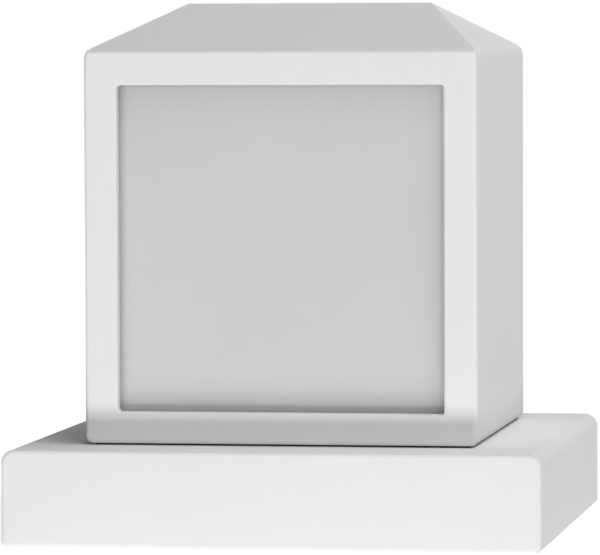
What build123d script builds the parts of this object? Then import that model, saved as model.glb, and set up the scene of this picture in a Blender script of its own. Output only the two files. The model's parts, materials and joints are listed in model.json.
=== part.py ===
from build123d import *
from math import atan, cos, pi, tan
import os

# Square outdoor wall light: a hollow cast canopy for the wall, and on it a cube-shaped head with
# a hip roof and two windows, which shine up and down once the light hangs on a wall.
# Millimetres. The origin is the middle of the wall side, +Z points away from the wall, the front
# window faces -Y and the rear window +Y. On a wall the front window faces up.

# Clearances shared by many pieces
touch_gap = 0.1
slip_gap = 0.3
thread_gap = 0.05

# Canopy
canopy_side = 120.0
canopy_height = 21.5
canopy_wall = 5.0
canopy_roof = 3.0
canopy_end_round = 3.0
canopy_rim_round = 1.2
canopy_cavity_round = 3.0
rim_wall = 2.5
rim_depth = 3.0
rim_corner_round = 0.9
pad_radius = 5.5
pad_height = 1.0

# Neck gasket, which shows as the seam between canopy and head
seam = 0.4
gasket_recess = 0.6
gasket_setback = 1.8

# Head shell: the windows and the frame round them set its size
window_width = 73.3
window_height = 72.8
window_frame = 7.4
window_sill = 7.0
window_lintel = 7.4
window_corner_round = 0.7
window_edge = 0.35
roof_height = 10.7
ridge_inset = 16.0
head_wall = 3.0
head_eaves_round = 3.4
head_foot_round = 1.6
ridge_round = 0.8
cast_round = 0.8
face_round = 1.0

# Window glass and its gasket
glass_thickness = 3.0
glass_lap = 3.0
glass_corner_round = 1.5
gasket_thickness = 1.0
gasket_hideback = 1.0
rail_thickness = 2.0
rail_reach = 2.7

# Closing plate and head screws
plate_thickness = 3.0
plate_corner_round = 2.0
boss_inset = 5.6
boss_setback = 12.1
boss_radius = 4.2
boss_height = 12.0
boss_thread_depth = 10.0

# Screws: shank radius, head radius, head height
m4_shank = 1.95
m4_head = 3.6
m4_head_height = 2.6
m3_shank = 1.45
m3_head = 2.7
m3_head_height = 1.8
recess_share = 0.6
recess_width = 0.7
hole_room = 0.25

# Wall bracket
sheet = 1.5
bend_round = 1.0
bracket_arm_length = 84.0
bracket_arm_width = 28.0
bracket_arm_round = 4.0
bracket_spine_width = 34.0
ear_height = 16.0
slot_spacing = 60.0
slot_length = 14.0
slot_width = 5.2
hook_reach = 2.5
hook_width = 28.0
hook_z = 8.0
hook_depth = 2.7
lock_screw_spacing = 24.0
lock_screw_z = 10.0
lock_screw_length = 8.0
lock_screw_edge = 0.2
hexagon_sides = 6
earth_setback = 21.0
earth_washer_radius = 4.6
earth_washer_thickness = 0.8

# Cable grommet in the bracket
cable_radius = 4.5
grommet_hole = 8.0
grommet_flange = 11.0
grommet_flange_height = 2.0
grommet_base = 8.0
grommet_tip = 6.0
grommet_height = 9.0
grommet_edge = 0.5

# Terminal block on the bracket
pole_pitch = 9.3
pole_count = 3
terminal_setback = 21.0
terminal_depth = 16.0
terminal_height = 13.0
terminal_side_wall = 4.7
terminal_edge_round = 0.8
barrel_radius = 2.6
barrel_bore = 1.6
barrel_setback = 1.0
barrel_drop = 6.5
clamp_screw_radius = 1.5
clamp_screw_spacing = 9.0
clamp_screw_sink = 1.0
fixing_head_sink = 1.0

# Light core inside the head
carrier_sheet = 2.0
carrier_bend = 1.0
carrier_width = 66.0
carrier_depth = 30.0
carrier_rise = 6.0
carrier_screw_x = 29.8
carrier_screw_y = 9.0
screw_bite = 2.5
notch_x = -8.0
notch_width = 9.0
notch_room = 3.0
board_side = 44.0
board_thickness = 1.6
board_corner_round = 2.0
board_screw_inset = 3.0
chip_side = 3.0
chip_height = 0.7
chip_rows = 4
chip_pitch = 8.5
connector_width = 6.5
connector_depth = 4.0
connector_height = 5.0
connector_edge = 1.0
driver_left = -24.0
driver_right = 8.0
driver_depth = 21.0
driver_height = 52.0
driver_round = 1.5
tab_length = 5.0
tab_width = 12.0
tab_thickness = 2.5

# Wire bush in the neck, and the leads through it
bush_x = 21.0
bush_radius = 5.9
bush_flange = 7.0
bush_flange_height = 1.5
bush_bore_gap = 0.1
lead_radius = 0.9
lead_spacing = 3.0
bore_slant = 50.0
lead_turn = 8.5
lead_start_depth = 5.0
lead_first_run = 7.0
live_entry_z = 46.0
neutral_entry_z = 52.0
entry_turn = 9.0
led_lead_radius = 0.7
led_lead_spread = 3.2
led_lead_y = 5.0
led_lead_rise = 7.3
led_lead_turn = 6.5

# Earth lug on the carrier
lug_drop = 15.3
lug_radius = 3.4
lug_thickness = 0.8
lug_tail_width = 2.4
lug_barrel_radius = 1.4
lug_barrel_length = 3.5
lug_tail_drop = 3.2
lug_lead_rise = 29.0
lug_lead_step = 5.5
lug_lead_turn = 4.5

# Heights and half sizes that follow from the values above
head_side = window_width + 2 * window_frame
head_wall_height = window_sill + window_height + window_lintel
half_canopy = canopy_side / 2
half_cavity = half_canopy - canopy_wall
half_rim = half_canopy - rim_wall
canopy_ceiling_z = canopy_height - canopy_roof
pad_z = canopy_ceiling_z - pad_height
neck_gasket_z = canopy_height - gasket_recess
head_z = canopy_height + seam
half_head = head_side / 2
half_inside = half_head - head_wall
head_screw_x = half_inside - boss_inset
head_screw_y = half_inside - boss_setback
eaves_z = head_z + head_wall_height
ridge_z = eaves_z + roof_height
long_pitch = atan(roof_height / half_head)
end_pitch = atan(roof_height / ridge_inset)
plate_top_z = head_z + plate_thickness
window_z = head_z + window_sill + window_height / 2
gasket_face_y = half_inside
glass_face_y = gasket_face_y - gasket_thickness
glass_back_y = glass_face_y - glass_thickness
glass_width = window_width + 2 * glass_lap
glass_height = 2 * (window_z - plate_top_z - slip_gap)
carrier_base_z = plate_top_z + carrier_sheet
upright_y = carrier_depth / 2
board_face_y = upright_y + board_thickness
connector_top_z = window_z + board_side / 2 - connector_edge
led_lead_z = connector_top_z + led_lead_rise
carrier_top_z = led_lead_z + carrier_rise
notch_bottom_z = led_lead_z - notch_room
earth_y = earth_setback - half_cavity
terminal_y = half_cavity - terminal_setback
lead_z = sheet + barrel_drop
lug_z = window_z - lug_drop


def lift(shape, z):
    """Moves a shape up to height z."""
    return Pos(0, 0, z) * shape


def at(x, y, z, shape):
    """Puts a shape's own origin at a point."""
    return Pos(x, y, z) * shape


def slab(width, depth, height, corner, z):
    """Plate with rounded upright corners, standing on height z."""
    return lift(extrude(RectangleRounded(width, depth, corner), height), z)


def rod(radius, bottom, top, x=0.0, y=0.0):
    """Upright round bar between two heights."""
    return at(x, y, bottom, extrude(Circle(radius), top - bottom))


def rod_y(radius, start, end, x, z):
    """Round bar along +Y from start to end."""
    return Plane((x, start, z), z_dir=(0, 1, 0)) * extrude(Circle(radius), end - start)


def upright(y):
    """Plane at the windows' middle height that faces +Y, with its own X along X."""
    return Plane((0, y, window_z), x_dir=(1, 0, 0), z_dir=(0, 1, 0))


def across(outline, half):
    """Runs an outline drawn as seen from the front from +half to -half in Y."""
    return extrude(Plane.XZ.offset(-half) * outline, 2 * half)


def along(outline, half):
    """Runs an outline drawn in Y and Z from -half to +half in X."""
    return extrude(Plane.YZ.offset(-half) * outline, 2 * half)


def square_around(half_x, half_y):
    """The four corners of a rectangle about the middle."""
    return [(x, y) for x in (-half_x, half_x) for y in (-half_y, half_y)]


def facing(side, shape):
    """Turns what is drawn for the front window round to the rear when side is 1."""
    return shape if side < 0 else Rot(0, 0, 180) * shape


def pan_screw(shank, head, head_height, length):
    """Screw pointing down, with its head's underside at zero and a cross recess on top."""
    body = rod(head, 0, head_height) + rod(shank, -length, 0)
    depth = head_height * recess_share
    bar = Box(2 * head * recess_share, recess_width, depth, align=(Align.CENTER, Align.CENTER, Align.MAX))
    top_edge = body.edges().group_by(Axis.Z)[-1]
    body = chamfer(top_edge, head_height * (1 - recess_share) / 2)
    return body - lift(bar, head_height) - lift(Rot(0, 0, 90) * bar, head_height)


def round_corners(outline, corners, radius):
    """Rounds the named corners of an outline, unless the radius is zero."""
    return fillet(corners, radius) if radius else outline


def hip_form(skin, bottom, eaves_round=0.0, foot_round=0.0):
    """Square block under a hip roof, with every face set in by skin from the head's outside."""
    half = half_head - skin
    top = ridge_z - skin / cos(long_pitch)
    end_eaves = eaves_z + skin * tan(end_pitch) - skin / cos(end_pitch)
    long_eaves = eaves_z + skin * tan(long_pitch) - skin / cos(long_pitch)
    ridge_half = half - (top - end_eaves) / tan(end_pitch)
    front = Polygon(
        (-half, bottom), (half, bottom), (half, end_eaves),
        (ridge_half, top), (-ridge_half, top), (-half, end_eaves), align=None,
    )
    front = round_corners(front, front.vertices().group_by(Axis.Y)[1], eaves_round)
    front = round_corners(front, front.vertices().group_by(Axis.Y)[0], foot_round)
    gable = Polygon(
        (-half, bottom), (half, bottom), (half, long_eaves), (0, top), (-half, long_eaves), align=None,
    )
    gable = fillet(gable.vertices().sort_by(Axis.Y)[-1], ridge_round)
    return across(front, half) & along(gable, half)


def round_faces(form):
    """Rounds the outline of the front and rear faces of a casting."""
    flat = form.faces().filter_by(Axis.Y).group_by(Axis.Y)
    return fillet(flat[0].edges() + flat[-1].edges(), face_round)


def window_cutter():
    """Goes right through both window walls, and breaks the outer edge of each opening."""
    opening = RectangleRounded(window_width, window_height, window_corner_round)
    flare = RectangleRounded(
        window_width + 2 * window_edge, window_height + 2 * window_edge, window_corner_round + window_edge
    )
    cutter = upright(-half_head) * extrude(opening, head_side)
    bevel = upright(-half_head) * extrude(flare, window_edge, taper=45)
    return cutter + bevel + facing(1, bevel)


def make_head_shell():
    shell = round_faces(hip_form(0, head_z, head_eaves_round, head_foot_round))
    cavity = hip_form(head_wall, head_z)
    shell -= fillet(cavity.edges().filter_by(Axis.Z), cast_round)
    shell -= window_cutter()
    # Rails on the side walls hold the glass, which slides in from below
    rail_top = window_z + glass_height / 2
    rail = Box(rail_reach, rail_thickness, rail_top - plate_top_z, align=(Align.MAX, Align.MAX, Align.MIN))
    for x_side in (-1, 1):
        for y_side in (-1, 1):
            one = rail if x_side > 0 else mirror(rail, Plane.YZ)
            one = one if y_side > 0 else mirror(one, Plane.XZ)
            shell += at(x_side * half_inside, y_side * (glass_back_y - touch_gap), plate_top_z, one)
    # Bosses for the head screws stand on the side walls
    web = half_inside - head_screw_x
    for x, y in square_around(head_screw_x, head_screw_y):
        boss = rod(boss_radius, 0, boss_height)
        foot = Box(web, 2 * boss_radius, boss_height, align=(Align.MIN, Align.CENTER, Align.MIN))
        boss += foot if x > 0 else mirror(foot, Plane.YZ)
        boss -= rod(m4_shank + thread_gap, 0, boss_thread_depth)
        shell += at(x, y, plate_top_z, boss)
    return shell


def make_canopy():
    front = Rectangle(canopy_side, canopy_height, align=(Align.CENTER, Align.MIN))
    front = fillet(front.vertices().group_by(Axis.Y)[-1], canopy_end_round)
    front = fillet(front.vertices().group_by(Axis.Y)[0], canopy_rim_round)
    body = round_faces(across(front, half_canopy))
    body -= slab(2 * half_cavity, 2 * half_cavity, canopy_ceiling_z, canopy_cavity_round, 0)
    body -= slab(2 * half_rim, 2 * half_rim, rim_depth, rim_corner_round, 0)
    pocket = head_side - 2 * (gasket_setback - touch_gap)
    body -= slab(pocket, pocket, gasket_recess, face_round, neck_gasket_z)
    for x, y in square_around(head_screw_x, head_screw_y):
        body += rod(pad_radius, pad_z, canopy_ceiling_z, x, y)
        body -= rod(m4_shank + hole_room, pad_z, canopy_height, x, y)
    body -= rod(bush_radius, 0, canopy_height, bush_x)
    # The hook on the wall bracket catches this rib when the light is tilted on
    rib = Box(hook_width, hook_reach, hook_depth, align=(Align.CENTER, Align.MIN, Align.MAX))
    body += at(0, -half_cavity, hook_z, rib)
    for x in (-lock_screw_spacing / 2, lock_screw_spacing / 2):
        body -= rod_y(m4_shank + hole_room, half_cavity, half_canopy, x, lock_screw_z)
        body -= rod_y(m4_head + touch_gap, half_canopy - m4_head_height, half_canopy, x, lock_screw_z)
    return body


def make_lock_screws():
    """Hexagon-socket screws that hold the canopy to the bracket's ear."""
    screw = rod(m4_head, -m4_head_height, 0) + rod(m4_shank, -lock_screw_length, -m4_head_height)
    screw = chamfer(screw.edges().group_by(Axis.Z)[-1], lock_screw_edge)
    depth = m4_head_height * recess_share
    screw -= lift(extrude(RegularPolygon(m4_head * recess_share, hexagon_sides), depth), -depth)
    turned = Rot(-90, 0, 0) * screw
    half = lock_screw_spacing / 2
    return [at(x, half_canopy, lock_screw_z, turned) for x in (-half, half)]


def make_wall_gasket():
    ring = slab(2 * (half_rim - touch_gap), 2 * (half_rim - touch_gap), rim_depth, rim_corner_round, 0)
    return ring - slab(2 * half_cavity, 2 * half_cavity, rim_depth, rim_corner_round, 0)


def make_neck_gasket():
    side = head_side - 2 * gasket_setback
    gasket = slab(side, side, gasket_recess + seam, face_round, neck_gasket_z)
    for x, y in square_around(head_screw_x, head_screw_y):
        gasket -= rod(m4_shank + hole_room, neck_gasket_z, head_z, x, y)
    return gasket - rod(bush_radius, neck_gasket_z, head_z, bush_x)


def make_closing_plate():
    side = 2 * (half_inside - touch_gap)
    plate = slab(side, side, plate_thickness, plate_corner_round, head_z)
    for x, y in square_around(head_screw_x, head_screw_y):
        plate -= rod(m4_shank + hole_room, head_z, plate_top_z, x, y)
    plate -= rod(bush_radius, head_z, plate_top_z, bush_x)
    for x, y in square_around(carrier_screw_x, carrier_screw_y):
        plate -= rod(m3_shank + thread_gap, plate_top_z - screw_bite, plate_top_z, x, y)
    return plate


def make_head_screws():
    length = plate_top_z - pad_z + boss_thread_depth - 2 * touch_gap
    screw = Rot(180, 0, 0) * pan_screw(m4_shank, m4_head, m4_head_height, length)
    return [at(x, y, pad_z, screw) for x, y in square_around(head_screw_x, head_screw_y)]


def make_glass(side):
    pane = extrude(RectangleRounded(glass_width, glass_height, glass_corner_round), glass_thickness)
    pane = chamfer(pane.edges().filter_by(GeomType.LINE).group_by(Axis.Z)[0], touch_gap)
    return facing(side, upright(-glass_face_y) * pane)


def make_glass_gasket(side):
    outer = RectangleRounded(glass_width, glass_height, glass_corner_round)
    inner = RectangleRounded(
        window_width + 2 * gasket_hideback, window_height + 2 * gasket_hideback, window_corner_round
    )
    ring = upright(-gasket_face_y) * extrude(outer - inner, gasket_thickness)
    return facing(side, ring)


def bent_strip(points, thickness, bend, width):
    """Sheet bent along a line of points in the YZ plane, spread evenly about X = 0."""
    line = FilletPolyline(*points, radius=bend + thickness / 2)
    return along(trace(line, thickness), width / 2)


def make_wall_bracket():
    middle = sheet / 2
    hook_y = half_cavity - hook_reach - slip_gap - middle
    ear_y = half_cavity - slip_gap - middle
    lip_z = hook_z + slip_gap + middle
    spine = [(-half_cavity + slip_gap, lip_z), (-hook_y, lip_z), (-hook_y, middle), (ear_y, middle)]
    bracket = bent_strip(spine + [(ear_y, ear_height)], sheet, bend_round, bracket_spine_width)
    bracket += slab(bracket_arm_length, bracket_arm_width, sheet, bracket_arm_round, 0)
    for x in (-slot_spacing / 2, slot_spacing / 2):
        bracket -= at(x, 0, 0, extrude(SlotOverall(slot_length, slot_width), sheet))
    bracket -= rod(grommet_hole, 0, sheet)
    bracket -= rod(m4_shank + thread_gap, 0, sheet, 0, earth_y)
    for x in terminal_fixings():
        bracket -= rod(m3_shank + thread_gap, 0, sheet, x, terminal_y)
    for x in (-lock_screw_spacing / 2, lock_screw_spacing / 2):
        bracket -= rod_y(m4_shank + thread_gap, ear_y - sheet, ear_y + sheet, x, lock_screw_z)
    return bracket


def make_cable_grommet():
    top = sheet + grommet_flange_height
    outline = Polygon(
        (cable_radius, 0), (grommet_hole - thread_gap, 0), (grommet_hole - thread_gap, sheet),
        (grommet_flange, sheet), (grommet_flange, top), (grommet_base, top),
        (grommet_tip, grommet_height), (cable_radius, grommet_height), align=None,
    )
    outline = chamfer(outline.vertices().sort_by(Axis.X)[-2:], grommet_edge)
    return revolve(Plane.XZ * outline, Axis.Z)


def make_earth_screw():
    seat = sheet + earth_washer_thickness
    return at(0, earth_y, seat, pan_screw(m4_shank, m4_head, m4_head_height, seat - thread_gap))


def make_earth_washer():
    """Cupped washer whose rim keeps the supply's earth wire under the screw."""
    washer = rod(earth_washer_radius, 0, earth_washer_thickness * 2)
    washer -= rod(m4_head + hole_room, earth_washer_thickness, earth_washer_thickness * 2)
    washer -= rod(m4_shank + hole_room, 0, earth_washer_thickness)
    return at(0, earth_y, sheet, washer)


def pole_places():
    """X of each pole of the terminal block."""
    first = -pole_pitch * (pole_count - 1) / 2
    return [first + pole_pitch * i for i in range(pole_count)]


def terminal_fixings():
    """X of the two fixing screws, in the gaps either side of the middle pole."""
    return [-pole_pitch / 2, pole_pitch / 2]


def make_terminal_block():
    width = pole_pitch * (pole_count - 1) + 2 * terminal_side_wall
    block = Box(width, terminal_depth, terminal_height, align=(Align.CENTER, Align.CENTER, Align.MIN))
    block = fillet(block.edges().group_by(Axis.Z)[-1], terminal_edge_round)
    block = at(0, terminal_y, sheet, block)
    front, back = terminal_y - terminal_depth / 2, terminal_y + terminal_depth / 2
    top = sheet + terminal_height
    for x in pole_places():
        block -= rod_y(barrel_radius + thread_gap, front, back, x, lead_z)
        for y in clamp_places():
            block -= rod(clamp_screw_radius + hole_room, lead_z, top, x, y)
    for x in terminal_fixings():
        block -= rod(m3_shank + touch_gap, sheet, top, x, terminal_y)
        sink = top - m3_head_height - fixing_head_sink
        block -= rod(m3_head + thread_gap, sink, top, x, terminal_y)
    return block


def clamp_places():
    """Y of the two clamp screws in each pole."""
    return [terminal_y - clamp_screw_spacing / 2, terminal_y + clamp_screw_spacing / 2]


def make_terminal_barrels():
    start = terminal_y - terminal_depth / 2 + barrel_setback
    end = terminal_y + terminal_depth / 2 - barrel_setback
    barrels = []
    for x in pole_places():
        barrel = rod_y(barrel_radius, start, end, x, lead_z) - rod_y(barrel_bore, start, end, x, lead_z)
        for y in clamp_places():
            barrel -= rod(clamp_screw_radius + thread_gap, lead_z, lead_z + 2 * barrel_radius, x, y)
        barrels.append(barrel)
    return barrels


def make_clamp_screws():
    bottom = lead_z + lead_radius
    top = sheet + terminal_height - clamp_screw_sink
    screws = []
    for x in pole_places():
        for y in clamp_places():
            screw = rod(clamp_screw_radius, bottom, top, x, y)
            slot = Box(2 * (clamp_screw_radius + recess_width), recess_width / 2, recess_width)
            screws.append(screw - at(x, y, top, slot))
    return screws


def make_terminal_screws():
    seat = sheet + terminal_height - m3_head_height - fixing_head_sink
    screw = pan_screw(m3_shank, m3_head, m3_head_height, seat - thread_gap)
    return [at(x, terminal_y, seat, screw) for x in terminal_fixings()]


def make_carrier():
    middle = plate_top_z + carrier_sheet / 2
    arm = upright_y - carrier_sheet / 2
    path = [(-arm, carrier_top_z), (-arm, middle), (arm, middle), (arm, carrier_top_z)]
    carrier = bent_strip(path, carrier_sheet, carrier_bend, carrier_width)
    for x, y in square_around(carrier_screw_x, carrier_screw_y):
        carrier -= rod(m3_shank + hole_room, plate_top_z, carrier_base_z, x, y)
    carrier -= rod(bush_flange + slip_gap, plate_top_z, carrier_base_z, bush_x)
    for x in driver_tab_places():
        carrier -= rod(m3_shank + thread_gap, plate_top_z, carrier_base_z, x)
    notch_height = carrier_top_z - notch_bottom_z
    notch = Box(notch_width, carrier_depth, notch_height, align=(Align.CENTER, Align.CENTER, Align.MIN))
    carrier -= at(notch_x, 0, notch_bottom_z, notch)
    reach = board_side / 2 - board_screw_inset
    for x, z in square_around(reach, reach):
        carrier -= rod_y(m3_shank + thread_gap, -upright_y, upright_y, x, window_z + z)
    inner = upright_y - carrier_sheet
    return carrier - rod_y(m4_shank + thread_gap, inner, upright_y, earth_bore()[0], lug_z)


def make_carrier_screws():
    length = carrier_base_z - plate_top_z + screw_bite - touch_gap
    screw = pan_screw(m3_shank, m3_head, m3_head_height, length)
    return [at(x, y, carrier_base_z, screw) for x, y in square_around(carrier_screw_x, carrier_screw_y)]


def make_board(side):
    board = RectangleRounded(board_side, board_side, board_corner_round)
    reach = board_side / 2 - board_screw_inset
    for x, y in square_around(reach, reach):
        board -= Pos(x, y) * Circle(m3_shank + hole_room)
    plate = upright(-board_face_y) * extrude(board, board_thickness)
    return facing(side, plate)


def make_chips(side):
    chip = Box(chip_side, chip_height, chip_side, align=(Align.CENTER, Align.MAX, Align.CENTER))
    first = -chip_pitch * (chip_rows - 1) / 2
    places = [first + chip_pitch * i for i in range(chip_rows)]
    chips = [at(x, -board_face_y, window_z + z, chip) for x in places for z in places]
    return [facing(side, one) for one in chips]


def make_board_screws(side):
    length = board_thickness + carrier_sheet
    screw = Rot(90, 0, 0) * pan_screw(m3_shank, m3_head, m3_head_height, length)
    reach = board_side / 2 - board_screw_inset
    screws = [at(x, -board_face_y, window_z + z, screw) for x, z in square_around(reach, reach)]
    return [facing(side, one) for one in screws]


def make_connector(side):
    body = Box(connector_width, connector_depth, connector_height, align=(Align.CENTER, Align.MAX, Align.MAX))
    body = chamfer(body.edges().filter_by(Axis.Z).group_by(Axis.Y)[0], connector_edge / 2)
    body = at(notch_x, -board_face_y, connector_top_z, body)
    return body if side < 0 else mirror(body, Plane.XZ)


def driver_tab_places():
    """X of the screw in each foot of the driver."""
    return [driver_left - tab_length / 2, driver_right + tab_length / 2]


def make_driver():
    width = driver_right - driver_left
    middle = (driver_left + driver_right) / 2
    case = Box(width, driver_depth, driver_height, align=(Align.CENTER, Align.CENTER, Align.MIN))
    case = fillet(case.edges().filter_by(Axis.Z) + case.edges().group_by(Axis.Z)[-1], driver_round)
    tab_span = width + 2 * tab_length
    tabs = Box(tab_span, tab_width, tab_thickness, align=(Align.CENTER, Align.CENTER, Align.MIN))
    driver = at(middle, 0, carrier_base_z, case + tabs)
    for x in driver_tab_places():
        driver -= rod(m3_shank + hole_room, carrier_base_z, carrier_base_z + tab_thickness, x)
    return driver


def make_driver_screws():
    length = tab_thickness + carrier_sheet - touch_gap
    screw = pan_screw(m3_shank, m3_head - slip_gap, m3_head_height, length)
    return [at(x, 0, carrier_base_z + tab_thickness, screw) for x in driver_tab_places()]


def bush_bores():
    """The lead bores lie on a slanting line, so that the leads reach them without crossing."""
    slant = Vector(lead_spacing, 0).rotate(Axis.Z, bore_slant)
    return [(bush_x + slant.X * i, slant.Y * i) for i in (-1, 0, 1)]


def earth_bore():
    return bush_bores()[-1]


def make_wire_bush():
    low = canopy_ceiling_z - bush_flange_height
    high = plate_top_z + bush_flange_height
    bush = rod(bush_radius, low, high, bush_x)
    bush += rod(bush_flange, low, canopy_ceiling_z, bush_x) + rod(bush_flange, plate_top_z, high, bush_x)
    for x, y in bush_bores():
        bush -= rod(lead_radius + bush_bore_gap, low, high, x, y)
    return bush


def tube(points, radii, radius):
    """Round lead along straight runs joined by tangent arcs, whose volume should be section times length."""
    line = FilletPolyline(*points, radius=radii)
    lead = sweep(Plane(line @ 0, z_dir=line % 0) * Circle(radius), path=line)
    share = lead.volume / (pi * radius**2 * line.length)
    print("lead", round(line.length, 1), "mm long, bend radii", radii, "volume share", round(share, 4))
    return lead


def supply_route(pole, bore):
    """From inside the terminal block's barrel to the foot of the wire bush."""
    x, front = pole_places()[pole], terminal_y - terminal_depth / 2
    inside, outside = front + lead_start_depth, front - lead_first_run
    return [(x, inside, lead_z), (x, outside, lead_z), (*bush_bores()[bore], lead_z)]


def make_driver_lead(pole, entry_z):
    x, y = bush_bores()[pole]
    points = supply_route(pole, pole) + [(x, y, entry_z), (driver_right, y, entry_z)]
    return tube(points, [lead_turn, lead_turn, entry_turn], lead_radius)


def make_earth_lead():
    x, y = earth_bore()
    lug_y = upright_y - carrier_sheet - lug_barrel_radius
    rise = lug_lead_rise + lug_lead_step
    end_z = lug_z - lug_radius - lug_tail_drop - lug_barrel_length
    points = supply_route(-1, -1) + [(x, y, lug_lead_rise), (x, lug_y, rise), (x, lug_y, end_z)]
    return tube(points, [lead_turn, lead_turn, lug_lead_turn, lug_lead_turn], lead_radius)


def make_earth_lug():
    x = earth_bore()[0]
    wall = upright_y - carrier_sheet
    ring = rod_y(lug_radius, wall - lug_thickness, wall, x, lug_z)
    tail_top = lug_z
    tail_low = lug_z - lug_radius - lug_tail_drop
    tail = Box(lug_tail_width, lug_thickness, tail_top - tail_low, align=(Align.CENTER, Align.MAX, Align.MAX))
    barrel = rod(lug_barrel_radius, tail_low - lug_barrel_length, tail_low, x, wall - lug_barrel_radius)
    lug = ring + at(x, wall, tail_top, tail) + barrel
    return lug - rod_y(m4_shank + hole_room, wall - lug_thickness, wall, x, lug_z)


def make_lug_screw():
    wall = upright_y - carrier_sheet
    length = lug_thickness + carrier_sheet - touch_gap
    screw = Rot(90, 0, 0) * pan_screw(m4_shank, m4_head - slip_gap, m4_head_height, length)
    return at(earth_bore()[0], wall - lug_thickness, lug_z, screw)


def make_led_leads(side):
    """Red and black lead from the driver's top over the carrier to one board's connector."""
    top = carrier_base_z + driver_height
    out_y = board_face_y + connector_depth / 2
    leads = []
    for x in (notch_x - led_lead_spread / 2, notch_x + led_lead_spread / 2):
        points = [(x, side * led_lead_y, top), (x, side * led_lead_y, led_lead_z)]
        points += [(x, side * out_y, led_lead_z), (x, side * out_y, connector_top_z)]
        leads.append(tube(points, led_lead_turn, led_lead_radius))
    return leads


front, rear = -1, 1
nodes = {
    "canopy": make_canopy(),
    "canopy_lock_screws": make_lock_screws(),
    "wall_gasket": make_wall_gasket(),
    "wall_bracket": make_wall_bracket(),
    "cable_grommet": make_cable_grommet(),
    "bracket_earth_screw": make_earth_screw(),
    "earth_cup_washer": make_earth_washer(),
    "terminal_block": make_terminal_block(),
    "terminal_barrels": make_terminal_barrels(),
    "terminal_clamp_screws": make_clamp_screws(),
    "terminal_fixing_screws": make_terminal_screws(),
    "neck_gasket": make_neck_gasket(),
    "wire_bush": make_wire_bush(),
    "closing_plate": make_closing_plate(),
    "head_shell": make_head_shell(),
    "head_screws": make_head_screws(),
    "front_glass": make_glass(front),
    "front_glass_gasket": make_glass_gasket(front),
    "rear_glass": make_glass(rear),
    "rear_glass_gasket": make_glass_gasket(rear),
    "led_carrier": make_carrier(),
    "carrier_screws": make_carrier_screws(),
    "front_led_board": make_board(front),
    "front_led_chips": make_chips(front),
    "front_board_screws": make_board_screws(front),
    "front_connector": make_connector(front),
    "rear_led_board": make_board(rear),
    "rear_led_chips": make_chips(rear),
    "rear_board_screws": make_board_screws(rear),
    "rear_connector": make_connector(rear),
    "led_driver": make_driver(),
    "driver_screws": make_driver_screws(),
    "live_lead": make_driver_lead(0, live_entry_z),
    "neutral_lead": make_driver_lead(1, neutral_entry_z),
    "earth_lead": make_earth_lead(),
    "earth_lug": make_earth_lug(),
    "earth_lug_screw": make_lug_screw(),
    "front_led_leads": make_led_leads(front),
    "rear_led_leads": make_led_leads(rear),
}

os.makedirs("parts", exist_ok=True)
for name, shape in nodes.items():
    export_step(Compound(children=shape) if isinstance(shape, list) else shape, f"parts/{name}.step")
print(len(nodes), "nodes,", round(ridge_z, 2), "mm from the wall to the ridge")
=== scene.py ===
# %% [markdown]
# # A square outdoor wall light
# The light has two castings: a hollow plate that screws to the wall, and a cube-shaped head with
# a hip roof. Both are powder coated white, and a frosted glass panel fills each of the head's two
# windows. The parts come in finished from the CAD model, so this notebook adds what a model for
# machining lacks: the finish of every surface, a plain studio and the camera. All lengths are
# metres.

# %% Load the parts
import json
from math import cos, pi, radians, sin

import bpy
from mathutils import Matrix, Vector


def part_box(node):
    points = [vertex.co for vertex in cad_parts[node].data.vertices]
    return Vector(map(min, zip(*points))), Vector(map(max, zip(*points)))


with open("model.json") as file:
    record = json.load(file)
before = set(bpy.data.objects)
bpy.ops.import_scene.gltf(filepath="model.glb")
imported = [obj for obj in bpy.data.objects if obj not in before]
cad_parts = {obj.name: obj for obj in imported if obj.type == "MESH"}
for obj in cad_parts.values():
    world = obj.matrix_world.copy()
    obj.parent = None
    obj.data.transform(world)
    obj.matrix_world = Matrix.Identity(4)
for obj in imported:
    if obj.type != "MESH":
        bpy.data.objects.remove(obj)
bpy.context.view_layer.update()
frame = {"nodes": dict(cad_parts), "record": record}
nodes = frame["nodes"]

# %% [markdown]
# ## Writing a finish as an expression
# A finish is a small network of nodes. Written by hand, most of its lines would only wire one
# node to the next. Here a Signal wraps an output socket, so that Python's own operators add the
# Math nodes, and one method of Finish adds every other kind of node: its settings first, then its
# sockets.

# %% A signal and a finish
class Signal:
    """A value that varies over a surface. Arithmetic on it adds Math nodes to its finish."""

    def __init__(self, finish, socket):
        self.finish = finish
        self.socket = socket

    def math(self, operation, first, second):
        return self.finish.add("ShaderNodeMath", {"operation": operation}, {0: first, 1: second})

    def __add__(self, other):
        return self.math("ADD", self, other)

    def __radd__(self, other):
        return self.math("ADD", other, self)

    def __sub__(self, other):
        return self.math("SUBTRACT", self, other)

    def __rsub__(self, other):
        return self.math("SUBTRACT", other, self)

    def __mul__(self, other):
        return self.math("MULTIPLY", self, other)

    def __rmul__(self, other):
        return self.math("MULTIPLY", other, self)

    def __abs__(self):
        return self.math("ABSOLUTE", self, 0.0)

    def most(self, other):
        return self.math("MAXIMUM", self, other)


class Finish:
    """A material or world, built up node by node."""

    def __init__(self, owner):
        self.owner = owner
        owner.use_nodes = True
        self.tree = owner.node_tree
        self.tree.nodes.clear()

    def add(self, kind, settings=None, sockets=None, output=0):
        """Adds a node, makes its settings, fills its sockets and returns one of its outputs."""
        node = self.tree.nodes.new(kind)
        for name, value in (settings or {}).items():
            if name == "stops":
                set_stops(node.color_ramp, value)
            else:
                setattr(node, name, value)
        for name, value in (sockets or {}).items():
            if isinstance(value, Signal):
                self.tree.links.new(value.socket, node.inputs[name])
            else:
                node.inputs[name].default_value = value
        return Signal(self, node.outputs[output]) if node.outputs else node


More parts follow.
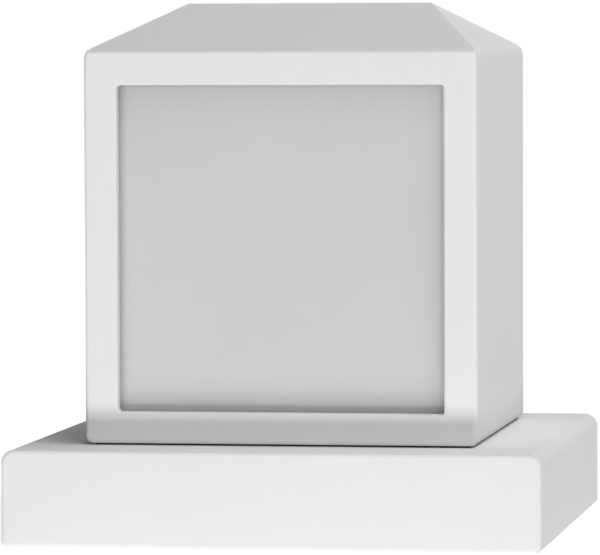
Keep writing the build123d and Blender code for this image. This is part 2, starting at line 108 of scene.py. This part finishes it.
def set_stops(ramp, stops):
    """Gives a colour ramp its stops, each a place from 0 to 1 and a grey level."""
    while len(ramp.elements) < len(stops):
        ramp.elements.new(1.0)
    for element, (place, level) in zip(ramp.elements, stops):
        element.position = place
        element.color = (level, level, level, 1.0)


def new_finish(name):
    return Finish(bpy.data.materials.new(name))


# %% [markdown]
# ## Grain, streaks and shades
# Nearly every finish here is noise of a known size. The noise works in metres on the part itself,
# so a grain is given by its real size, and it runs on from one face to the next without a seam.

# %% Helpers for grain, colour and relief
def grain(finish, size, detail=2.0, stretch=(1.0, 1.0, 1.0)):
    """Noise from 0 to 1 with blotches about size across, drawn out along the axes by stretch."""
    place = finish.add("ShaderNodeTexCoord", output="Object")
    scale = tuple(1.0 / (size * factor) for factor in stretch)
    place = finish.add("ShaderNodeMapping", {}, {"Vector": place, "Scale": scale})
    return finish.add("ShaderNodeTexNoise", {}, {"Vector": place, "Scale": 1.0, "Detail": detail})


def between(finish, mask, low, high):
    """Colour that runs from low to high as the mask goes from 0 to 1."""
    sockets = {0: mask, 6: (*low, 1.0), 7: (*high, 1.0)}
    return finish.add("ShaderNodeMix", {"data_type": "RGBA"}, sockets, output=2)


def steps(finish, mask, *stops):
    """Maps a mask through a ramp of places and the level at each."""
    return finish.add("ShaderNodeValToRGB", {"stops": stops}, {"Fac": mask})


def relief(finish, height, depth):
    """Bump whose highest point stands depth metres above its lowest."""
    return finish.add("ShaderNodeBump", {}, {"Height": height, "Distance": depth, "Strength": 1.0})


def coat(finish, sockets):
    """Closes a finish with one Principled surface and hands back its material."""
    shader = finish.add("ShaderNodeBsdfPrincipled", {}, sockets)
    finish.add("ShaderNodeOutputMaterial", {}, {"Surface": shader})
    return finish.owner


# %% [markdown]
# ## White powder coat
# Both castings are sprayed with polyester powder and baked. The melt levels out but for a faint
# orange peel, ripples about a millimetre across and a few microns high. A second, finer noise is
# the grit of the powder itself. Matting agent in the powder makes the coat nearly matt, so the
# white surroundings show in it only as a slight sheen on faces seen at a low angle. Handling
# leaves broad, faint patches that are a touch duller, so roughness varies more than colour does.

# %% Powder coat
patch_width = 0.03
peel_width = 0.0011
peel_height = 0.000012
grit_width = 0.00025


def powder_coat():
    finish = new_finish("white_powder_coat")
    patches = grain(finish, patch_width, detail=3.0)
    peel = grain(finish, peel_width, detail=1.0)
    grit = grain(finish, grit_width)
    return coat(finish, {
        "Base Color": between(finish, patches, (0.815, 0.815, 0.815), (0.835, 0.835, 0.835)),
        "Roughness": 0.7 + 0.1 * patches + 0.06 * grit,
        "Specular IOR Level": 0.1,
        "Normal": relief(finish, peel + 0.25 * grit, peel_height),
    })


finishes = {"white_paint": powder_coat()}
print("coated:", list(finishes))

# %% [markdown]
# ## Frosted glass
# Each panel is glass that is sandblasted outside and painted grey-white behind, so that unlit it
# looks like a matt grey sheet and hides the light boards. Blasting leaves pits a few tenths of a
# millimetre across. The paint behind is a little uneven, which shows as very faint clouds. Over its
# last few millimetres the panel's colour is darkened softly. This is painted shade that stands in
# for the shade of the recess around the frame, most sharply at the top and most widely at the sill.
# The frame covers a strip of each edge, so these depths are measured from the edges of the opening.

# %% How deep into the window
glass_low, glass_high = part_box("front_glass")
glass_cover = 0.003


def depths_into_window(finish):
    """Metres along the panel from the window's nearer side, its top and its sill."""
    place = finish.add("ShaderNodeTexCoord", output="Object")
    across = finish.add("ShaderNodeSeparateXYZ", {}, {0: place}, output="X")
    height = finish.add("ShaderNodeSeparateXYZ", {}, {0: place}, output="Z")
    from_side = glass_high.x - glass_cover - abs(across)
    from_top = glass_high.z - glass_cover - height
    from_sill = height - (glass_low.z + glass_cover)
    return from_side, from_top, from_sill


opening_width = 2 * (glass_high.x - glass_cover)
opening_height = glass_high.z - glass_low.z - 2 * glass_cover
print("opening in mm:", round(1000 * opening_width, 1), "by", round(1000 * opening_height, 1))

# %% [markdown]
# The painted shade's stops are given from the edge of the opening to the shaded border's inner
# line. Each has its place as a share of that border's width, and how much of the full pale tone is
# left there.

# %% Frosted glass
# Width of the painted shade along the frame, then its ramps for the sides, the top and the sill.
painted_shade_width = 0.01
side_shade_stops = ((0.0, 0.42), (0.1, 0.61), (0.25, 0.79), (0.5, 0.94), (1.0, 1.0))
top_shade_stops = ((0.0, 0.0), (0.25, 0.42), (0.45, 0.88), (0.7, 1.0))
sill_shade_stops = ((0.0, 0.48), (0.3, 0.46), (0.5, 0.52), (0.75, 0.8), (1.0, 1.0))
# The colour runs from glass_dark, which only the deepest painted shade reaches, to glass_pale.
glass_dark = (0.47, 0.47, 0.47)
glass_pale = (0.62, 0.62, 0.62)
pit_width = 0.00018
pit_depth = 0.000008


def frosted_glass():
    finish = new_finish("frosted_glass")
    pits = grain(finish, pit_width)
    paleness_and_painted_shade = 0.8 + 0.2 * grain(finish, 0.02, detail=3.0)
    # Painted shade: each ramp darkens the colour towards the frame, where the recess shades the
    # panel.
    for depth, stops in zip(depths_into_window(finish), (side_shade_stops, top_shade_stops, sill_shade_stops)):
        paleness_and_painted_shade = paleness_and_painted_shade * steps(finish, depth * (1 / painted_shade_width), *stops)
    return coat(finish, {
        "Base Color": between(finish, paleness_and_painted_shade, glass_dark, glass_pale),
        "Roughness": 0.55 + 0.1 * pits,
        "IOR": 1.5,
        "Specular IOR Level": 0.4,
        "Normal": relief(finish, pits, pit_depth),
    })


finishes["frosted_glass"] = frosted_glass()
print("frosted:", finishes["frosted_glass"].name)

# %% [markdown]
# ## Rubber, foam and silicone
# The seals hardly reflect. Moulded rubber has a dusty skin with fine flow marks, silicone is
# smoother, and closed-cell foam is cut through its cells, which leaves round pits half a
# millimetre wide. A Voronoi texture gives such cells.

# %% Seals
def moulded_rubber(name, dark, light, skin=0.0004):
    finish = new_finish(name)
    bloom = grain(finish, 0.006, detail=4.0)
    marks = grain(finish, skin)
    return coat(finish, {
        "Base Color": between(finish, bloom, dark, light),
        "Roughness": 0.62 + 0.2 * bloom,
        "Normal": relief(finish, marks, 0.00002),
    })


def cut_foam(cell_width=0.0006, cell_depth=0.00012):
    finish = new_finish("black_foam")
    place = finish.add("ShaderNodeTexCoord", output="Object")
    sockets = {"Vector": place, "Scale": 1 / cell_width}
    cells = finish.add("ShaderNodeTexVoronoi", {}, sockets, output="Distance")
    return coat(finish, {
        "Base Color": between(finish, cells, (0.02, 0.02, 0.02), (0.075, 0.075, 0.075)),
        "Roughness": 0.85 + 0.1 * cells,
        "Normal": relief(finish, cells, cell_depth),
    })


finishes["black_rubber"] = moulded_rubber("black_rubber", (0.02, 0.02, 0.02), (0.045, 0.045, 0.045))
finishes["grey_silicone"] = moulded_rubber(
    "grey_silicone", (0.27, 0.27, 0.27), (0.33, 0.33, 0.33), skin=0.0008
)
finishes["black_foam"] = cut_foam()
print("sealed:", list(finishes)[2:])

# %% [markdown]
# ## Metals
# What makes sheet, turned and plated metal look different is the direction and depth of the marks
# that making it left. Rolled sheet has long streaks one way, zinc plate is cloudy with a fine
# crystalline sparkle, and turned brass and stainless screws have short scratches. One function
# makes them all from two colours, the stretch and fineness of the streaks, and a roughness.

# %% Metals
def bare_metal(name, dull, bright, streak=(1.0, 1.0, 1.0), fine=0.0003, rough=0.3):
    finish = new_finish(name)
    clouds = grain(finish, 0.008, detail=3.0)
    streaks = grain(finish, fine, detail=3.0, stretch=streak)
    return coat(finish, {
        "Base Color": between(finish, clouds, dull, bright),
        "Metallic": 1.0,
        "Roughness": rough + 0.15 * streaks + 0.1 * clouds,
        "Normal": relief(finish, streaks, 0.00001),
    })


finishes["zinc_steel"] = bare_metal("zinc_plate", (0.3, 0.31, 0.32), (0.46, 0.47, 0.49), rough=0.45)
finishes["stainless"] = bare_metal("stainless", (0.42, 0.415, 0.41), (0.5, 0.495, 0.49), rough=0.36)
finishes["bare_aluminium"] = bare_metal(
    "mill_aluminium", (0.7, 0.71, 0.72), (0.8, 0.81, 0.82), streak=(30.0, 1.0, 1.0), fine=0.0002
)
finishes["brass"] = bare_metal("turned_brass", (0.7, 0.52, 0.24), (0.82, 0.64, 0.34), rough=0.22)
print("metals:", [finish.name for finish in list(finishes.values())[-4:]])

# %% [markdown]
# ## Plastics, boards and leads
# These are inside the light. Natural polyamide is milky and slightly soft looking, the driver's
# case is black with a coarse moulded grain, and the board's solder mask is glossy white, with the
# copper below just showing as wide, faintly raised fields. Lead insulation is smooth, with a
# slight sheen.

# %% Plastics
def moulded_plastic(name, dark, light, rough, texture, depth):
    finish = new_finish(name)
    flow = grain(finish, 0.01, detail=2.0)
    skin = grain(finish, texture)
    return coat(finish, {
        "Base Color": between(finish, flow, dark, light),
        "Roughness": rough + 0.12 * skin,
        "Normal": relief(finish, skin, depth),
    })


def solder_mask(field_width=0.0085):
    finish = new_finish("white_solder_mask")
    place = finish.add("ShaderNodeTexCoord", output="Object")
    settings = {"distance": "CHEBYCHEV"}
    sockets = {"Vector": place, "Scale": 1 / field_width, "Randomness": 0.0}
    fields = finish.add("ShaderNodeTexVoronoi", settings, sockets, output="Distance")
    copper = steps(finish, fields, (0.42, 1.0), (0.46, 0.0))
    return coat(finish, {
        "Base Color": between(finish, copper, (0.86, 0.87, 0.86), (0.9, 0.9, 0.88)),
        "Roughness": 0.22 + 0.1 * grain(finish, 0.002),
        "Normal": relief(finish, copper, 0.00004),
    })


finishes["terminal_plastic"] = moulded_plastic(
    "natural_polyamide", (0.78, 0.77, 0.71), (0.86, 0.85, 0.79),
    rough=0.42, texture=0.0005, depth=0.00001,
)
finishes["driver_plastic"] = moulded_plastic(
    "black_case", (0.02, 0.02, 0.021), (0.035, 0.035, 0.036),
    rough=0.5, texture=0.0004, depth=0.00004,
)
finishes["led_phosphor"] = moulded_plastic(
    "led_phosphor", (0.85, 0.62, 0.12), (0.93, 0.74, 0.22),
    rough=0.3, texture=0.0002, depth=0.00001,
)
finishes["board_white"] = solder_mask()
print("plastics:", list(finishes)[-4:])

# %% Lead insulation
sheath_rough = 0.35
sheath_grain = 0.0006
sheath_depth = 0.00001
insulation = {
    "brown_insulation": ((0.14, 0.055, 0.025), (0.18, 0.07, 0.032)),
    "blue_insulation": ((0.03, 0.11, 0.4), (0.04, 0.14, 0.48)),
    "red_insulation": ((0.45, 0.02, 0.015), (0.52, 0.03, 0.02)),
}
for slot, (dark, light) in insulation.items():
    finishes[slot] = moulded_plastic(slot, dark, light, sheath_rough, sheath_grain, sheath_depth)


def striped_insulation(bands_scale=90.0):
    """Green insulation with yellow stripes along it, as earth leads have."""
    finish = new_finish("earth_insulation")
    place = finish.add("ShaderNodeTexCoord", output="Object")
    settings = {"bands_direction": "X"}
    bands = finish.add("ShaderNodeTexWave", settings, {"Vector": place, "Scale": bands_scale})
    yellow = steps(finish, bands, (0.45, 0.0), (0.55, 1.0))
    skin = grain(finish, sheath_grain)
    return coat(finish, {
        "Base Color": between(finish, yellow, (0.03, 0.26, 0.04), (0.75, 0.62, 0.03)),
        "Roughness": sheath_rough + 0.1 * skin,
        "Normal": relief(finish, skin, sheath_depth),
    })


finishes["earth_insulation"] = striped_insulation()
print("leads:", [slot for slot in finishes if slot.endswith("insulation")])

# %% [markdown]
# ## Put each finish on its parts
# The record says which material slot each part has. A part's shape stays as the CAD model has it;
# only the material in its slot changes.

# %% Dress the parts
for subpart in frame["record"]["subparts"]:
    for material_slot in nodes[subpart["node"]].material_slots:
        material_slot.material = finishes[subpart["material_slot"]]
in_use = {slot.material.name for part in nodes.values() for slot in part.material_slots}
print("finishes in use:", len(in_use))

# %% [markdown]
# ## Floor and background
# The photograph's background is plain white. More lamps would wash the white coat out, so the
# floor and the world are white only to rays that come from the camera or off a glossy or clear
# surface, so that metal and glass show the white too. To the light that matt surfaces scatter,
# the floor is a pale sheet and the world a dim even sky. Near the light the floor's white is a
# glow added to its own shading, so the shadow still shows on it, and further off the glow alone
# is white, which hides where the floor ends. The floor's underside lets every ray through, so
# that the light can also be looked at from below.

# %% Floor and world
sky_level = 0.04
floor_tone = 0.6
floor_glow = 0.75
floor_half = 3.0
glow_near = 0.35
glow_far = 1.2


def seen(finish):
    """1 for rays from the camera or off metal or glass, and 0 for light off a matt surface."""
    camera_ray = finish.add("ShaderNodeLightPath", output="Is Camera Ray")
    glossy_ray = finish.add("ShaderNodeLightPath", output="Is Glossy Ray")
    clear_ray = finish.add("ShaderNodeLightPath", output="Is Transmission Ray")
    return camera_ray.most(glossy_ray).most(clear_ray)


def white_floor():
    finish = new_finish("studio_floor")
    tone = between(finish, grain(finish, 0.4), (floor_tone,) * 3, (floor_tone + 0.02,) * 3)
    paper = finish.add("ShaderNodeBsdfDiffuse", {}, {"Color": tone})
    place = finish.add("ShaderNodeTexCoord", output="Object")
    settings = {"operation": "LENGTH"}
    distance = finish.add("ShaderNodeVectorMath", settings, {0: place}, output="Value")
    near, far = glow_near / floor_half, glow_far / floor_half
    share = steps(finish, distance * (1 / floor_half), (near, floor_glow), (far, 1.0))
    dark = finish.add("ShaderNodeEmission", {}, {"Strength": 0.0})
    glow = finish.add("ShaderNodeEmission", {}, {"Strength": 1.0})
    shown = finish.add("ShaderNodeMixShader", {}, {0: seen(finish) * share, 1: dark, 2: glow})
    both = finish.add("ShaderNodeAddShader", {}, {0: paper, 1: shown})
    underside = finish.add("ShaderNodeNewGeometry", output="Backfacing")
    clear = finish.add("ShaderNodeBsdfTransparent")
    finish.add("ShaderNodeOutputMaterial", {}, {
        "Surface": finish.add("ShaderNodeMixShader", {}, {0: underside, 1: both, 2: clear}),
    })
    return finish.owner


corners = [(x * floor_half, y * floor_half, 0) for x, y in ((-1, -1), (1, -1), (1, 1), (-1, 1))]
floor_mesh = bpy.data.meshes.new("floor")
floor_mesh.from_pydata(corners, [], [(0, 1, 2, 3)])
floor_mesh.materials.append(white_floor())
floor = bpy.data.objects.new("floor", floor_mesh)
bpy.context.collection.objects.link(floor)

world = bpy.data.worlds.new("studio")
bpy.context.scene.world = world
sky = Finish(world)
dim = sky.add("ShaderNodeBackground", {}, {"Color": (1.0, 1.0, 1.0, 1.0), "Strength": sky_level})
white = sky.add("ShaderNodeBackground", {}, {"Color": (1.0, 1.0, 1.0, 1.0), "Strength": 1.0})
sky.add("ShaderNodeOutputWorld", {}, {
    "Surface": sky.add("ShaderNodeMixShader", {}, {0: seen(sky), 1: dim, 2: white}),
})
print("floor half side", floor_half, "m, sky level", sky_level)

# %% [markdown]
# ## Studio light
# Soft boxes tell the faces apart. Each is given by the brightness it would bring to a white face
# turned to it. Three stand above the floor: one in front fills in the shadows, one high on the
# right lights the roof and the plate, and one behind keeps the roof pale. They leave the shadow
# that lies on the plate left of the head. Four more stand below the level of the floor, as if the
# light stood on a narrow block. From there they light the upright faces, and the plate's ledge
# shades a band along the foot of the head.

# %% Soft boxes
middle_height = 0.06
box_distance = 1.4
aim = Vector((0.0, 0.0, middle_height))


def toward(turn, rise):
    """Direction from the light, by degrees to the right of the front and degrees of rise."""
    across, up = radians(turn), radians(rise)
    return Vector((sin(across) * cos(up), -cos(across) * cos(up), sin(up)))


def soft_box(name, turn, rise, width, height, level):
    lamp = bpy.data.lights.new(name, "AREA")
    lamp.shape = "RECTANGLE"
    lamp.size = width
    lamp.size_y = height
    lamp.energy = level * (pi * box_distance) ** 2
    box = bpy.data.objects.new(name, lamp)
    box.location = aim + toward(turn, rise) * box_distance
    box.rotation_euler = toward(turn, rise).to_track_quat("Z", "Y").to_euler()
    box.visible_camera = False
    bpy.context.collection.objects.link(box)
    print(name, "at", [round(side, 2) for side in box.location], "power", round(lamp.energy, 2))
    return box


soft_box("front_box", turn=10, rise=5, width=2.6, height=0.5, level=0.285)
soft_box("top_box", turn=60, rise=62, width=1.4, height=0.8, level=0.64)
soft_box("back_box", turn=160, rise=30, width=1.6, height=0.6, level=0.205)
low_boxes = (
    soft_box("low_front", turn=0, rise=-26, width=1.2, height=0.3, level=0.515),
    soft_box("low_right", turn=110, rise=-20, width=1.2, height=0.5, level=0.18),
    soft_box("low_left", turn=262, rise=-45, width=1.2, height=0.5, level=0.4),
    soft_box("low_back", turn=190, rise=-26, width=1.0, height=0.5, level=0.5),
)

# %% [markdown]
# A floor that casts no shadow lets the low boxes through, and still takes the light's own shadow.
# Cycles finds a lamp both by aiming at it and by chance, and shares its brightness between the
# two. Chance rays stop at the floor, so the low boxes are found by aim alone and keep their full
# level.

# %% Let the low boxes through the floor
floor.visible_shadow = False
for box in low_boxes:
    box.data.cycles.use_multiple_importance_sampling = False
print("boxes below the floor:", sum(box.location.z < 0 for box in low_boxes))

# %% [markdown]
# ## Camera
# The camera's place was worked out from the corners of plate, head, window and ridge: a long lens
# 1.2 metres away, 9 degrees round to the right and looking down by less than 3 degrees. It aims
# at the light's middle but for a few millimetres aside and above. Its axes are worked out from
# those angles, so that no sideways shift of the lens is needed.

# %% Camera
camera_turn = radians(9.12)
camera_tilt = radians(-2.92)
camera_roll = radians(-0.215)
camera_distance = 1.2123
camera_aside = -0.00244
camera_above = -0.00316
lens_mm = 316.72
sensor_mm = 36.0

level_ahead = Vector((-sin(camera_turn), cos(camera_turn), 0.0))
ahead = cos(camera_tilt) * level_ahead + Vector((0.0, 0.0, sin(camera_tilt)))
level_right = ahead.cross(Vector((0, 0, 1))).normalized()
level_up = level_right.cross(ahead)
right = cos(camera_roll) * level_right + sin(camera_roll) * level_up
up = cos(camera_roll) * level_up - sin(camera_roll) * level_right

camera_data = bpy.data.cameras.new("camera")
camera_data.lens = lens_mm
camera_data.sensor_width = sensor_mm
camera_data.clip_end = 20.0
camera = bpy.data.objects.new("camera", camera_data)
place = aim - ahead * camera_distance + right * camera_aside + up * camera_above
axes = Matrix((right, up, -ahead)).transposed().to_4x4()
camera.matrix_world = Matrix.Translation(place) @ axes
bpy.context.collection.objects.link(camera)
bpy.context.scene.camera = camera
bpy.context.scene.view_settings.view_transform = "Standard"
print("camera at", [round(value, 3) for value in place])
